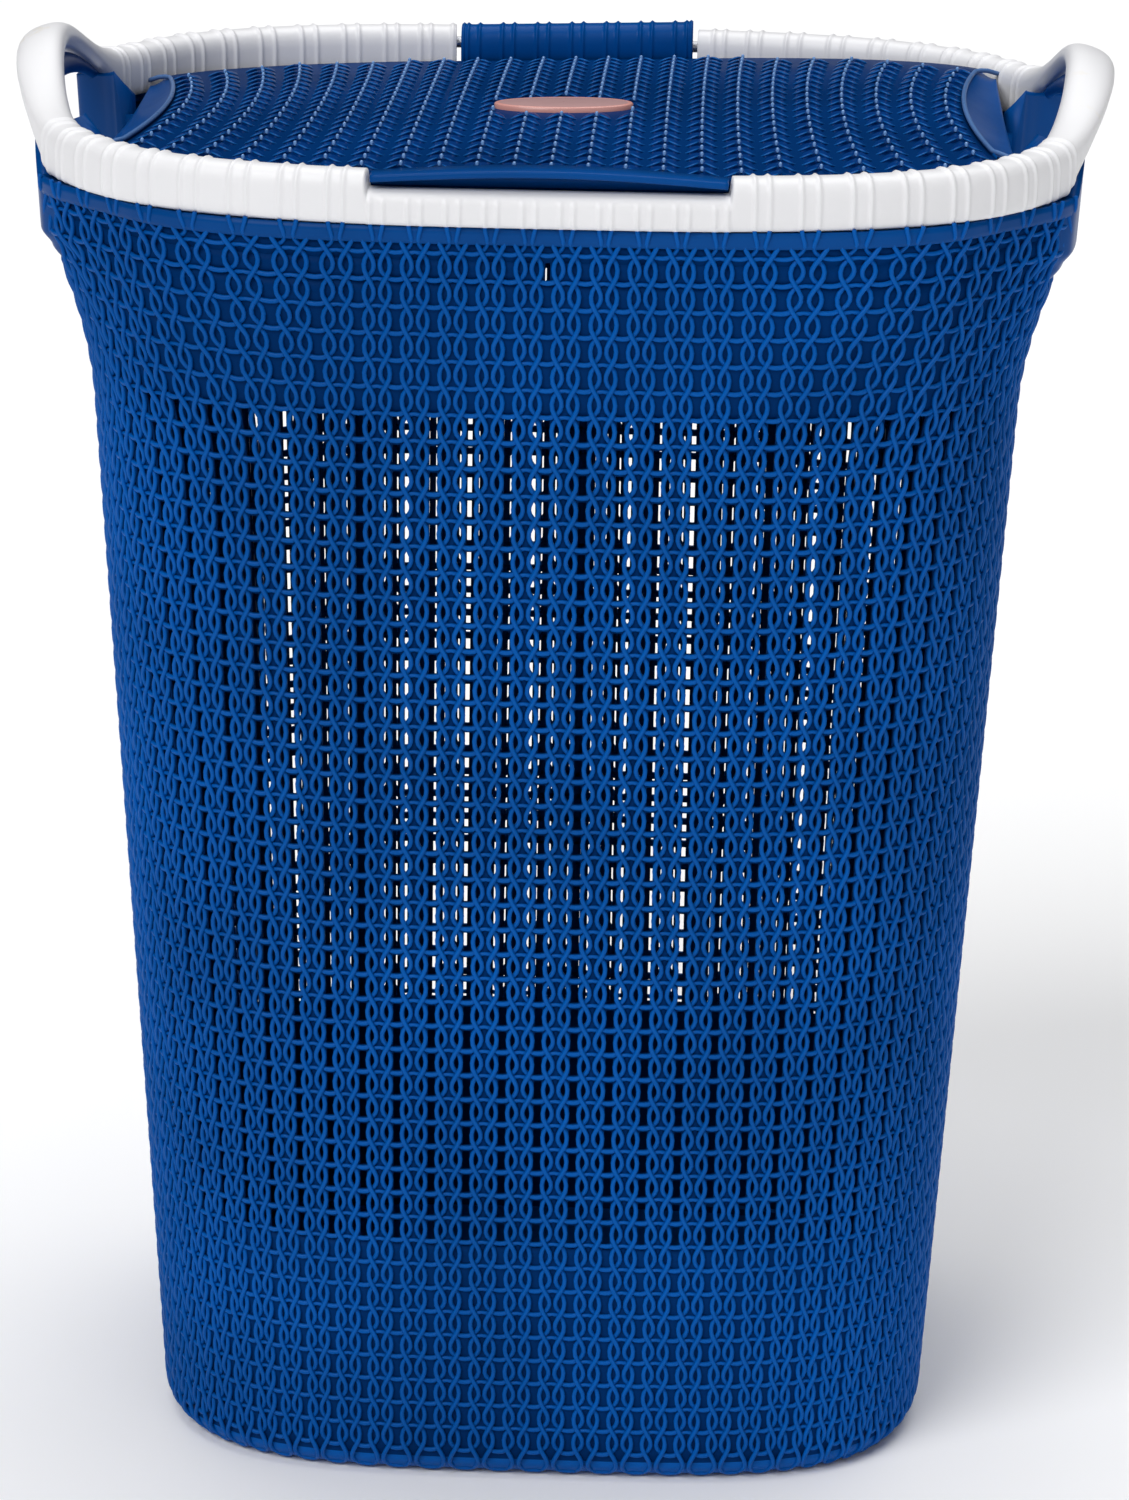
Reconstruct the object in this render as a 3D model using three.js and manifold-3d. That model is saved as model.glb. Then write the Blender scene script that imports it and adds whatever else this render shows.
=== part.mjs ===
// Laundry hamper with a hinged lid: a tapered moulded tub, a two-handled rim ring and a
// knit-textured lid that swings on two pins at the back. Millimetres, +Z up, the front faces -Y,
// and the origin is the centre of the footprint on the floor.
import * as THREE from 'three';
import { mergeVertices } from 'three/addons/utils/BufferGeometryUtils.js';
import Module from 'manifold-3d';

const wasm = await Module();
wasm.setup();

// ---- driving dimensions -------------------------------------------------------------------
const GAP = 0.3;                 // clearance between neighbouring solids
const BASE_A = 167.7;            // outer half width of the tub at the floor
const BASE_B = 144.8;            // outer half depth of the tub at the floor
const TOP_A = 198;               // the same at the top edge of the wall
const TOP_B = 171.5;
const TUB_POWER = 3.7;           // superellipse exponent of the tub outline
const FLOOR_T = 4;
const WALL_T = 3;
const WALL_TOP = 547.7;
const POCKET_DEPTH = 11;         // hand pocket pressed into each end wall
const POCKET_FLAT = 38;          // half length of its flat part, and of the whole pocket
const POCKET_HALF = 60;
const POCKET_FOOT = 462;
const EAR_DEPTH = 17;            // flare of the tub under each handle foot
const EAR_FOOT = 453;            // it swells from here
const EAR_SHELF = 519;           // and steps out at this height
const EAR_FROM = 60;             // where an ear starts and stops, measured from the middle plane
const EAR_TO = 128;
const RIM_A = 206;               // centre line of the rim section
const RIM_B = 166;
const RIM_POWER = 3.1;
const RIM_W = 16;
const RIM_H = 21;
const RIM_TOP = 569;
const HANDLE_OUT = 12.5;          // extra reach of a handle, sideways and upwards
const HANDLE_UP = 25;
const HANDLE_W = 21;
const HANDLE_H = 12;             // thickness of the handle band at its middle
const ARCH_HALF = 84.5;          // half length of the arch below each handle
const HANDLE_END = 88;           // a handle runs between these depths either side of the middle
const RECESS_HALF = 71;          // finger recess in the front of the rim
const RECESS_TOP = 562;
const HINGE_Y = 164;
const HINGE_Z = 561.5;
const BARREL_HALF = 52;
const BARREL_W = 17;
const BARREL_H = 19;
const KNUCKLE_GAP_HALF = 54.5;   // the rim stops here on each side of the barrel
const PIN_R = 2.5;
const PIN_BORE_R = 2.9;
const PIN_FROM = 46;
const PIN_TO = 64;
const LID_T = 4;
const LID_A = 196;               // outline of the lid inside the rim
const LID_FRONT = 156.4;
const LID_BACK = 155;
const LID_END = 167;             // where the knit panel stops and the end scoop starts
const SCOOP_END = 185;
const SCOOP_DROP = 9;
const SCOOP_HALF = 93;
const SCOOP_T = 2.5;
const LIP_HALF = 69.5;
const LIP_T = 2.8;
const LIP_ARCH = 3.4;
const BADGE_A = 29;
const BADGE_B = 15;
const BADGE_Y = -9;

const BLUE = 0x0b3f86;
const LIGHT_BLUE = 0x0f4f9a;
const OFF_WHITE = 0xe9eaee;
const STEEL = 0xa4a8ad;
const PINK = 0xd98a80;

// ---- small helpers ------------------------------------------------------------------------
const clamp = (v, a, b) => Math.min(b, Math.max(a, v));
const smooth = (a, b, v) => {
  const t = clamp((v - a) / (b - a), 0, 1);
  return t * t * (3 - 2 * t);
};
const bell = (v, half) => 0.5 + 0.5 * Math.cos(Math.PI * clamp(Math.abs(v) / half, 0, 1));
const power = (v, p) => Math.sign(v) * Math.pow(Math.abs(v), p);

function oval(a, b, n, angle) {
  return [a * power(Math.cos(angle), 2 / n), b * power(Math.sin(angle), 2 / n)];
}

// Half width of a superellipse at a given depth.
function halfWidth(a, b, n, y) {
  return a * Math.pow(Math.max(0, 1 - Math.pow(Math.abs(y) / b, n)), 1 / n);
}

// The angle at which a superellipse reaches the depth y, on the +X side.
function angleAtDepth(b, n, y) {
  return Math.asin(power(y / b, n / 2));
}

// The angle at which it reaches the width x, on the front side.
function angleAtWidth(a, n, x) {
  return -Math.acos(power(x / a, n / 2));
}

// Angles between two ends, spread evenly along the curve.
function evenAngles(a, b, n, from, to, count) {
  const dense = 600;
  const angles = [], lengths = [0];
  let last = null;
  for (let i = 0; i <= dense; i++) {
    const t = from + (to - from) * i / dense;
    const p = oval(a, b, n, t);
    if (last) lengths.push(lengths[i - 1] + Math.hypot(p[0] - last[0], p[1] - last[1]));
    angles.push(t);
    last = p;
  }
  const out = [];
  let j = 0;
  for (let i = 0; i <= count; i++) {
    const want = lengths[dense] * i / count;
    while (j < dense - 1 && lengths[j + 1] < want) j++;
    const k = (want - lengths[j]) / (lengths[j + 1] - lengths[j] || 1);
    out.push(angles[j] + (angles[j + 1] - angles[j]) * clamp(k, 0, 1));
  }
  return out;
}

// Merge a geometry into one closed body whose faces point outwards.
function closed(geometry) {
  geometry.deleteAttribute('normal');
  geometry.deleteAttribute('uv');
  let g = mergeVertices(geometry, 1e-4);
  const p = g.attributes.position, ix = Array.from(g.index.array), keep = [];
  let volume = 0;
  for (let i = 0; i < ix.length; i += 3) {
    const [a, b, c] = [ix[i], ix[i + 1], ix[i + 2]];
    if (a === b || b === c || a === c) continue;
    keep.push(a, b, c);
    const va = new THREE.Vector3().fromBufferAttribute(p, a);
    const vb = new THREE.Vector3().fromBufferAttribute(p, b);
    const vc = new THREE.Vector3().fromBufferAttribute(p, c);
    volume += va.dot(vb.cross(vc)) / 6;
  }
  if (volume < 0) for (let i = 0; i < keep.length; i += 3) keep.splice(i, 3, keep[i], keep[i + 2], keep[i + 1]);
  g.setIndex(keep);
  g.computeVertexNormals();
  return g;
}

// Move every vertex of a geometry by a function of its own coordinates.
function warped(geometry, move) {
  const p = geometry.attributes.position;
  for (let i = 0; i < p.count; i++) p.setXYZ(i, ...move(p.getX(i), p.getY(i), p.getZ(i)));
  return closed(geometry);
}

// A bent plate: a box with u and v running 0..1 over its face and w 0..1 through it.
function plate(nu, nv, at) {
  const box = new THREE.BoxGeometry(1, 1, 1, nu, nv, 1);
  return warped(box, (x, y, z) => at(x + 0.5, y + 0.5, z + 0.5));
}

// A bar of rounded section, extruded in steps and then bent: a and b run -0.5..0.5 over the
// section and t runs 0..1 along the bar.
function bar(steps, at, sides = 14, squareness = 3) {
  const points = [];
  for (let i = 0; i < sides; i++) {
    const [x, y] = oval(0.5, 0.5, squareness, 2 * Math.PI * (i + 0.5) / sides);
    points.push(new THREE.Vector2(x, y));
  }
  const shape = new THREE.Shape(points);
  const g = new THREE.ExtrudeGeometry(shape, { depth: 1, steps, bevelEnabled: false });
  return warped(g, at);
}

function toSolid(geometry) {
  return new wasm.Manifold(new wasm.Mesh({
    numProp: 3,
    vertProperties: new Float32Array(geometry.attributes.position.array),
    triVerts: new Uint32Array(geometry.index.array),
  }));
}

function fromSolid(solid) {
  const m = solid.getMesh();
  const g = new THREE.BufferGeometry();
  g.setAttribute('position', new THREE.BufferAttribute(new Float32Array(m.vertProperties), 3));
  g.setIndex(Array.from(m.triVerts));
  g.computeVertexNormals();
  return g;
}

function rod(radius, from, to, y, z, sides = 20) {
  const g = new THREE.CylinderGeometry(radius, radius, to - from, sides, 1);
  g.rotateZ(Math.PI / 2);
  g.translate((from + to) / 2, y, z);
  return closed(g);
}

function piece(name, geometry, color, roughness = 0.45, metalness = 0) {
  const mesh = new THREE.Mesh(geometry, new THREE.MeshStandardMaterial({ color, roughness, metalness }));
  mesh.name = name;
  return mesh;
}

// ---- tub ----------------------------------------------------------------------------------
const tubA = (z) => BASE_A + (TOP_A - BASE_A) * z / WALL_TOP;
const tubB = (z) => BASE_B + (TOP_B - BASE_B) * z / WALL_TOP;

// A point of the tub wall: angle round the outline, height, and depth below the outer face.
function wallPoint(angle, z, inset) {
  const [x, y] = oval(tubA(z) - inset, tubB(z) - inset, TUB_POWER, angle);
  const dent = POCKET_DEPTH * (1 - smooth(POCKET_FLAT, POCKET_HALF, Math.abs(y)))
    * smooth(POCKET_FOOT, 515, z);
  return [Math.abs(x) > 150 ? x - Math.sign(x) * dent : x, y, z];
}

function wall(from, to, columns, rows) {
  const angles = evenAngles(TOP_A, TOP_B, TUB_POWER, from, to, columns);
  return plate(columns, rows, (u, v, w) => {
    const z = FLOOR_T + GAP + (WALL_TOP - FLOOR_T - GAP) * v;
    return wallPoint(angles[Math.round(u * columns)], z, w * WALL_T);
  });
}

function tubFloor() {
  const shape = new THREE.Shape(evenAngles(BASE_A, BASE_B, TUB_POWER, 0, 2 * Math.PI, 64)
    .slice(0, 64).map((t) => new THREE.Vector2(...oval(BASE_A, BASE_B, TUB_POWER, t))));
  return closed(new THREE.ExtrudeGeometry(shape, { depth: FLOOR_T, steps: 1, bevelEnabled: false }));
}

// The flare under a handle foot: it grows out of the end wall and reaches the rim.
function ear(sideX, sideY) {
  const low = EAR_FOOT;
  return plate(16, 10, (u, v, w) => {
    const far = EAR_FROM + (EAR_TO - EAR_FROM) * u, y = sideY * far;
    const high = RIM_TOP - RIM_H + archRise(far + 2) - GAP;
    const z = low + (high - low) * v;
    const skin = halfWidth(tubA(z), tubB(z), TUB_POWER, y) + GAP;
    const across = smooth(-0.15, 0.2, u) * (1 - smooth(0.35, 1.1, u));
    const swell = Math.max(0, Math.min(1, (z - low) / (EAR_SHELF - low))) ** 2;
    const flare = EAR_DEPTH * (0.76 * swell + 0.24 * smooth(EAR_SHELF, EAR_SHELF + 7, z)) * across;
    return [sideX * (skin + w * (0.8 + flare)), y, z];
  });
}

// ---- rim and handles ----------------------------------------------------------------------
// Height of the arch below a handle above the rest of the rim's lower face.
function archRise(y) {
  return (RIM_H + HANDLE_UP - HANDLE_H) * Math.max(0, 1 - (y / ARCH_HALF) ** 2);
}

// Section of the rim ring at an angle: centre, outward direction, width, top and bottom.
function rimSection(angle, top = RIM_TOP) {
  const at = (t) => {
    const [x, y] = oval(RIM_A, RIM_B, RIM_POWER, t);
    return [Math.abs(y) < 120 ? x + Math.sign(x) * HANDLE_OUT * bell(y, 120) : x, y];
  };
  const [x, y] = at(angle), a = at(angle - 0.002), b = at(angle + 0.002);
  const length = Math.hypot(b[0] - a[0], b[1] - a[1]);
  const rise = Math.abs(x) > 150 ? bell(y, 95) : 0;
  const width = RIM_W + (HANDLE_W - RIM_W) * rise;
  const arch = Math.abs(x) > 150 ? archRise(y) : 0;
  const height = top + HANDLE_UP * rise - (RIM_TOP - RIM_H) - arch;
  return {
    x, y, out: [(b[1] - a[1]) / length, -(b[0] - a[0]) / length], width, height,
    mid: top + HANDLE_UP * rise - height / 2,
  };
}

function rimPart(from, to, steps, top = RIM_TOP) {
  const angles = evenAngles(RIM_A, RIM_B, RIM_POWER, from, to, steps);
  return bar(steps, (a, b, t) => {
    const s = rimSection(angles[Math.round(t * steps)], top);
    return [s.x + s.out[0] * a * s.width, s.y + s.out[1] * a * s.width, s.mid + b * s.height];
  });
}

const handleAngle = angleAtDepth(RIM_B, RIM_POWER, HANDLE_END);
const footAngle = angleAtDepth(RIM_B, RIM_POWER, HANDLE_END + GAP);
const recessAngle = angleAtWidth(RIM_A, RIM_POWER, RECESS_HALF + GAP);
const insideAngle = angleAtWidth(RIM_A, RIM_POWER, RECESS_HALF - GAP);
const knuckleAngle = -angleAtWidth(RIM_A, RIM_POWER, KNUCKLE_GAP_HALF);
const bore = (side) => toSolid(rod(PIN_BORE_R, ...(side > 0 ? [40, PIN_TO + 1] : [-PIN_TO - 1, -40]),
  HINGE_Y, HINGE_Z));

function backRim(side) {
  const [from, to] = side > 0 ? [footAngle, knuckleAngle] : [Math.PI - knuckleAngle, Math.PI - footAngle];
  return fromSolid(toSolid(rimPart(from, to, 18)).subtract(bore(side)));
}

// ---- lid ----------------------------------------------------------------------------------
// Height of the lid's upper face: highest at the front, falling to the hinge.
function lidTop(x, y) {
  return 568.3 - 0.000153 * (y + 110) ** 2 - 4 * (x / 170) ** 2 * clamp((100 - y) / 200, 0, 1);
}

function lidHalf(y) {
  const b = y < 0 ? LID_FRONT : LID_BACK + 3;
  const round = halfWidth(LID_A, b, RIM_POWER, clamp(Math.abs(y), 0, b * 0.995));
  return Math.min(round, LID_END + 9 * (y / 90) ** 2);
}

function lidPanel() {
  return plate(20, 18, (u, v, w) => {
    const y = -LID_FRONT + 1 + (LID_FRONT + LID_BACK - 1) * (0.5 - 0.5 * Math.cos(Math.PI * v));
    const x = (2 * u - 1) * lidHalf(y);
    return [x, y, lidTop(x, y) - LID_T * (1 - w)];
  });
}

function scoop(side) {
  return plate(6, 10, (u, v, w) => {
    const y = (2 * v - 1) * SCOOP_HALF;
    const inner = lidHalf(y) + GAP;
    const x = inner + (SCOOP_END - inner) * u;
    const drop = SCOOP_DROP * Math.sin(u * Math.PI / 2) * bell(y, 2 * SCOOP_HALF);
    return [side * x, y, lidTop(inner, y) - drop - SCOOP_T * (1 - w)];
  });
}

const lipRise = (x) => LIP_ARCH * Math.cos(Math.PI * x / (2 * LIP_HALF));
const lipUnder = (x) => RECESS_TOP + 2.6 + lipRise(x);

function lip() {
  return plate(16, 4, (u, v, w) => {
    const x = (2 * u - 1) * LIP_HALF;
    const front = -172 + 2 * (x / LIP_HALF) ** 2;
    return [x, front + (-156.9 - front) * v, lipUnder(x) + LIP_T * w];
  });
}

function lipWall() {
  return plate(16, 1, (u, v, w) => {
    const x = (2 * u - 1) * LIP_HALF;
    const low = RECESS_TOP + GAP;
    return [x, -161.2 + 4.2 * w, low + (lipUnder(x) - GAP - low) * v];
  });
}

function hingeBarrel() {
  const g = bar(2, (a, b, t) => [BARREL_HALF * (2 * t - 1), HINGE_Y + a * BARREL_W, HINGE_Z + b * BARREL_H]);
  return fromSolid(toSolid(g).subtract(bore(1)).subtract(bore(-1)));
}

function badge() {
  const g = new THREE.CylinderGeometry(1, 1, 1, 32, 1);
  g.rotateX(Math.PI / 2);
  return warped(g, (x, y, z) => {
    const px = x * BADGE_A, py = BADGE_Y + y * BADGE_B;
    return [px, py, lidTop(0, BADGE_Y) + 0.9 + (z + 0.5) * 1.6 - 0.033 * (py - BADGE_Y)];
  });
}

// ---- assembly -----------------------------------------------------------------------------
const sideAngle = angleAtDepth(TOP_B, TUB_POWER, 104);
const step = 0.0016;
const tub = new THREE.Group();
tub.add(
  piece('tub_floor', tubFloor(), BLUE),
  piece('tub_wall_front', wall(-Math.PI + sideAngle + step, -sideAngle - step, 26, 5), BLUE),
  piece('tub_wall_right', wall(-sideAngle, sideAngle, 12, 9), BLUE),
  piece('tub_wall_back', wall(sideAngle + step, Math.PI - sideAngle - step, 26, 5), BLUE),
  piece('tub_wall_left', wall(Math.PI - sideAngle, Math.PI + sideAngle, 12, 9), BLUE),
  piece('tub_ear_left_front', ear(-1, -1), BLUE),
  piece('tub_ear_left_rear', ear(-1, 1), BLUE),
  piece('tub_ear_right_front', ear(1, -1), BLUE),
  piece('tub_ear_right_rear', ear(1, 1), BLUE),
);

const rim = new THREE.Group();
rim.add(
  piece('rim_front_left', rimPart(-Math.PI + footAngle, -Math.PI - recessAngle, 16), OFF_WHITE),
  piece('rim_front_centre', rimPart(-Math.PI - insideAngle, insideAngle, 8, RECESS_TOP), OFF_WHITE),
  piece('rim_front_right', rimPart(recessAngle, -footAngle, 16), OFF_WHITE),
  piece('rim_back_right', backRim(1), OFF_WHITE),
  piece('rim_back_left', backRim(-1), OFF_WHITE),
  piece('handle_right', rimPart(-handleAngle, handleAngle, 18), OFF_WHITE),
  piece('handle_left', rimPart(Math.PI - handleAngle, Math.PI + handleAngle, 18), OFF_WHITE),
  piece('hinge_pin_right', rod(PIN_R, PIN_FROM, PIN_TO, HINGE_Y, HINGE_Z), STEEL, 0.4, 0.9),
  piece('hinge_pin_left', rod(PIN_R, -PIN_TO, -PIN_FROM, HINGE_Y, HINGE_Z), STEEL, 0.4, 0.9),
);

const lid = new THREE.Group();
lid.add(
  piece('lid_panel', lidPanel(), BLUE),
  piece('lid_scoop_left', scoop(-1), LIGHT_BLUE),
  piece('lid_scoop_right', scoop(1), LIGHT_BLUE),
  piece('lid_lip', lip(), LIGHT_BLUE),
  piece('lid_lip_wall', lipWall(), BLUE),
  piece('hinge_barrel', hingeBarrel(), LIGHT_BLUE),
  piece('lid_badge', badge(), PINK, 0.35),
);

const hamper = new THREE.Group();
hamper.name = 'laundry_hamper';
hamper.add(tub, rim, lid);

export default hamper;
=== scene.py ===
import math

import bpy
import numpy as np
from bpy.props import FloatProperty, FloatVectorProperty, IntProperty, PointerProperty
from mathutils import Matrix, Vector


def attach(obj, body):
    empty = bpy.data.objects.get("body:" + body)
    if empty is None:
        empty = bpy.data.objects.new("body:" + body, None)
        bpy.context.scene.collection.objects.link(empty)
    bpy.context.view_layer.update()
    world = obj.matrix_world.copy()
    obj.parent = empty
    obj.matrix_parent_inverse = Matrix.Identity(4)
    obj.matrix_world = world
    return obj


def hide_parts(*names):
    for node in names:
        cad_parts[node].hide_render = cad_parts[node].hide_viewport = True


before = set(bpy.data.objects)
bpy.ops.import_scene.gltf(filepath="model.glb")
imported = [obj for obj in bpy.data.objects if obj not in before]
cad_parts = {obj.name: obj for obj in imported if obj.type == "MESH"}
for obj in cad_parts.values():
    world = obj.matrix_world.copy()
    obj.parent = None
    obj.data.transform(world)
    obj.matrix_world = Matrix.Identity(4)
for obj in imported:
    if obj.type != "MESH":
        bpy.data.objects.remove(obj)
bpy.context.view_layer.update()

bl_info = {
    "name": "Knit-look laundry hamper",
    "version": (1, 0, 0),
    "blender": (4, 5, 0),
    "location": "View3D > Sidebar > Hamper",
    "description": "Builds a moulded laundry hamper with a knit texture, a white rim and a hinged lid",
    "category": "Add Mesh",
}

MM = 0.001
TAU = 2 * math.pi

# ---- fixed proportions of the moulding, in millimetres --------------------------------------
BASE_A, BASE_B = 167.7, 144.8        # half sizes of the tub at the floor
TOP_A, TOP_B = 198.0, 171.5          # and at the top of its wall
WALL_TOP = 547.7
TUB_POWER = 3.7
FAN = 24.0                           # how far the columns spread at the top corners
BACK_DRIFT = 2.2                     # sideways place of the columns at the back
REF_Z = 430.0                        # height at which the stitch columns are evenly spaced
EAR_DEPTH = 17.0                     # flare under each handle foot
EAR_FOOT, EAR_SHELF = 453.0, 519.0   # it swells between these heights, then steps out
POCKET_DEPTH, POCKET_FOOT = 11.0, 462.0
RIM_A, RIM_B, RIM_POWER = 206.0, 166.0, 3.1
RIM_W, RIM_H, RIM_TOP = 16.0, 21.0, 569.0
HANDLE_OUT, HANDLE_UP, HANDLE_W, HANDLE_H = 12.5, 25.0, 21.0, 12.5
HANDLE_TILT = math.radians(20)       # the handle band leans outwards
ARCH_HALF = 84.5                     # half length of the arch below each handle
RECESS_HALF, RECESS_DROP = 71.0, 7.0
KNUCKLE_GAP = 54.5
HINGE_Y, HINGE_Z = 164.0, 561.5
BARREL_HALF, BARREL_W, BARREL_H = 52.0, 17.0, 19.0
BAND_FOOT = 541.0                    # lower edge of the smooth band under the rim
BAND_HEAD = 549.0                    # where its ribs meet the rim
FOOT_RADIUS = 9.0                    # rounding of the tub's lower edge
FIRST_BAR = 537.0                    # height of the first stitch bar
OPEN_TOP, OPEN_FOOT = 470.5, 108.5   # the stitches are open between these heights
# Posts of the open part, in columns: place, then half width in the front wall and the back wall.
POSTS = ((0.5, 0.135, 0.185), (0.168, 0.062, 0.100), (-0.168, 0.062, 0.100))
SLIT_FOOT, SLIT_TOP = 525.2, 534.0   # a short slit at the front centre
LID_FRONT, LID_BACK, LID_A = -156.4, 155.0, 196.0
LID_END = 167.0
SCOOP_END, SCOOP_DROP = 185.0, 9.0
FIRST_STUD = -144.4                  # depth of the first stitch row on the lid
STITCH_REACH = 9.0                   # half length of one scale of the lid
BADGE_A, BADGE_B, BADGE_Y = 29.0, 15.0, -9.0
WEB_FACE, WEB_BACK = 2.4, 3.6        # depth of the tub's ground below its outermost surface
BAR_ROWS = range(7, 39)              # rows that have a cross bar behind the stitches
EAR_NEAR, EAR_FAR = 48.0, 98.0       # where an ear's smooth face starts and stops
LIP_HALF, LIP_ARCH, LIP_T = 69.5, 3.4, 2.8


# ---- sizes and colours a user may change ----------------------------------------------------
class HamperSizes(bpy.types.PropertyGroup):
    wale: FloatProperty(name="Stitch width", description="Width of one stitch column at mid height",
                        default=14.7 * MM, unit="LENGTH")
    row: FloatProperty(name="Stitch height", description="Height of one stitch row",
                       default=10.94 * MM, unit="LENGTH")
    rows: IntProperty(name="Stitch rows", description="Rows of stitches on the tub", default=49)
    strand: FloatProperty(name="Strand radius", description="Radius of a moulded strand",
                          default=1.03 * MM, unit="LENGTH")
    lid_wale: FloatProperty(name="Lid column width", description="Width of a stitch column on the lid",
                            default=14.52 * MM, unit="LENGTH")
    lid_row: FloatProperty(name="Lid row length", description="Length of a stitch row on the lid",
                           default=13.9 * MM, unit="LENGTH")
    rib: FloatProperty(name="Rib height", description="How far a rib stands proud of the rim",
                       default=0.8 * MM, unit="LENGTH")
    warp: FloatProperty(name="Lid warp", description="Sideways tilt of the lid at its hinge edge",
                        default=math.radians(1.8), subtype="ANGLE")


class HamperColours(bpy.types.PropertyGroup):
    blue: FloatVectorProperty(name="Blue", description="Blue of the tub and lid strands", size=3,
                              subtype="COLOR", default=(0.0007, 0.084, 0.355), min=0, max=1)
    # Painted shade: the ground under and between the strands takes this darker blue, standing in for the
    # shade that falls there.
    painted_shade_blue: FloatVectorProperty(name="Deep blue", description="Blue of the ground under the strands",
                              size=3, subtype="COLOR", default=(0.0002, 0.026, 0.122), min=0, max=1)
    plain: FloatVectorProperty(name="Plain blue", description="Blue of the smooth surfaces", size=3,
                               subtype="COLOR", default=(0.0007, 0.055, 0.235), min=0, max=1)
    white: FloatVectorProperty(name="Rim white", description="Off-white of the rim", size=3,
                               subtype="COLOR", default=(0.80, 0.80, 0.82), min=0, max=1)
    badge: FloatVectorProperty(name="Badge", description="Colour of the oval badge", size=3,
                               subtype="COLOR", default=(0.60, 0.37, 0.37), min=0, max=1)
    floor: FloatVectorProperty(name="Floor", description="Colour of the studio floor", size=3,
                               subtype="COLOR", default=(0.95, 0.95, 0.955), min=0, max=1)


def sizes():
    return bpy.context.scene.hamper_sizes


def colours():
    return bpy.context.scene.hamper_colours


# ---- shader maths ---------------------------------------------------------------------------
class Shade:
    """A socket of a material, with the arithmetic that the finishes use."""

    def __init__(self, tree, socket):
        self.tree, self.socket = tree, socket

    def node(self, kind, settings=None, inputs=None, out=0):
        made = self.tree.nodes.new(kind)
        for key, value in (settings or {}).items():
            if key == "stops":
                ramp = made.color_ramp.elements
                while len(ramp) < len(value):
                    ramp.new(0.5)
                for stop, (place, colour) in zip(ramp, value):
                    stop.position, stop.color = place, (*colour, 1)
            else:
                setattr(made, key, value)
        for key, value in (inputs or {}).items():
            if isinstance(value, Shade):
                self.tree.links.new(value.socket, made.inputs[key])
            else:
                made.inputs[key].default_value = value
        return Shade(self.tree, made.outputs[out])

    def maths(self, operation, a, b=0.0):
        return self.node("ShaderNodeMath", {"operation": operation}, {0: a, 1: b})

    def __add__(self, other):
        return self.maths("ADD", self, other)

    __radd__ = __add__

    def __sub__(self, other):
        return self.maths("SUBTRACT", self, other)

    def __rsub__(self, other):
        return self.maths("SUBTRACT", other, self)

    def __mul__(self, other):
        return self.maths("MULTIPLY", self, other)

    __rmul__ = __mul__

    def step(self, low, high):
        """0 below low, 1 above high, smooth between."""
        return self.node("ShaderNodeMapRange", {"interpolation_type": "SMOOTHSTEP"},
                         {"Value": self, "From Min": low, "From Max": high})

    def mix(self, low, high):
        """A colour between low and high, by this value."""
        def full(c):
            return c if isinstance(c, Shade) else (*c, 1)
        return self.node("ShaderNodeMix", {"data_type": "RGBA"},
                         {0: self, 6: full(low), 7: full(high)}, out=2)


class Finish:
    """One material and its main shader."""

    def __init__(self, name, roughness=0.4, **constants):
        self.material = bpy.data.materials.new(name)
        self.material.use_nodes = True
        self.tree = self.material.node_tree
        self.shader = self.tree.nodes["Principled BSDF"]
        self.shader.inputs["Roughness"].default_value = roughness
        for key, value in constants.items():
            self.shader.inputs[key.replace("_", " ")].default_value = value
        self.start = Shade(self.tree, None)
        self.place = self.start.node("ShaderNodeTexCoord", out=3)

    def noise(self, scale, detail=3.0, roughness=0.5):
        return self.start.node("ShaderNodeTexNoise", None, {
            "Vector": self.place, "Scale": scale, "Detail": detail, "Roughness": roughness})

    def axis(self, which):
        return self.start.node("ShaderNodeSeparateXYZ", None, {0: self.place}, out=which)

    def feed(self, socket, value):
        if isinstance(value, Shade):
            self.tree.links.new(value.socket, self.shader.inputs[socket])
        else:
            self.shader.inputs[socket].default_value = value

    def bump(self, height, strength, distance):
        self.feed("Normal", self.start.node("ShaderNodeBump", None, {
            "Height": height, "Strength": strength, "Distance": distance}))


def moulded_blue(name, colour, roughness=0.36, grain=0.12, shine=0.07):
    """Satin moulded plastic: faint cloudy tone, fine grain, a little wear in the gloss."""
    if name in bpy.data.materials:
        return bpy.data.materials[name]
    f = Finish(name, roughness, Specular_IOR_Level=shine)
    cloud = f.noise(9.0, 2.0)
    dark = [c * 0.86 for c in colour]
    light = [min(1, c * 1.12) for c in colour]
    f.feed("Base Color", cloud.step(0.3, 0.7).mix(dark, light))
    f.feed("Roughness", f.noise(55.0, 3.0) * 0.16 + (roughness - 0.08))
    f.bump(f.noise(900.0, 2.0), grain, 0.0002)
    return f.material


def moulded_white(name, colour):
    """Off-white plastic with faint yellowed handling marks on the handles."""
    if name in bpy.data.materials:
        return bpy.data.materials[name]
    f = Finish(name, 0.42, IOR=1.49, Subsurface_Weight=0.0)
    cloud = f.noise(14.0, 3.0)
    tone = cloud.step(0.35, 0.7).mix([c * 0.965 for c in colour], colour)
    reach = f.axis(0)
    reach = (reach * reach).step(0.0400, 0.0500)
    marks = f.noise(60.0, 4.0, 0.65).step(0.60, 0.74) * reach * 0.55
    stain = [colour[0] * 0.93, colour[1] * 0.87, colour[2] * 0.72]
    f.feed("Base Color", marks.mix(tone, stain))
    f.feed("Roughness", f.noise(70.0, 3.0) * 0.18 + 0.34)
    f.bump(f.noise(700.0, 2.0), 0.10, 0.0002)
    return f.material


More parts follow.
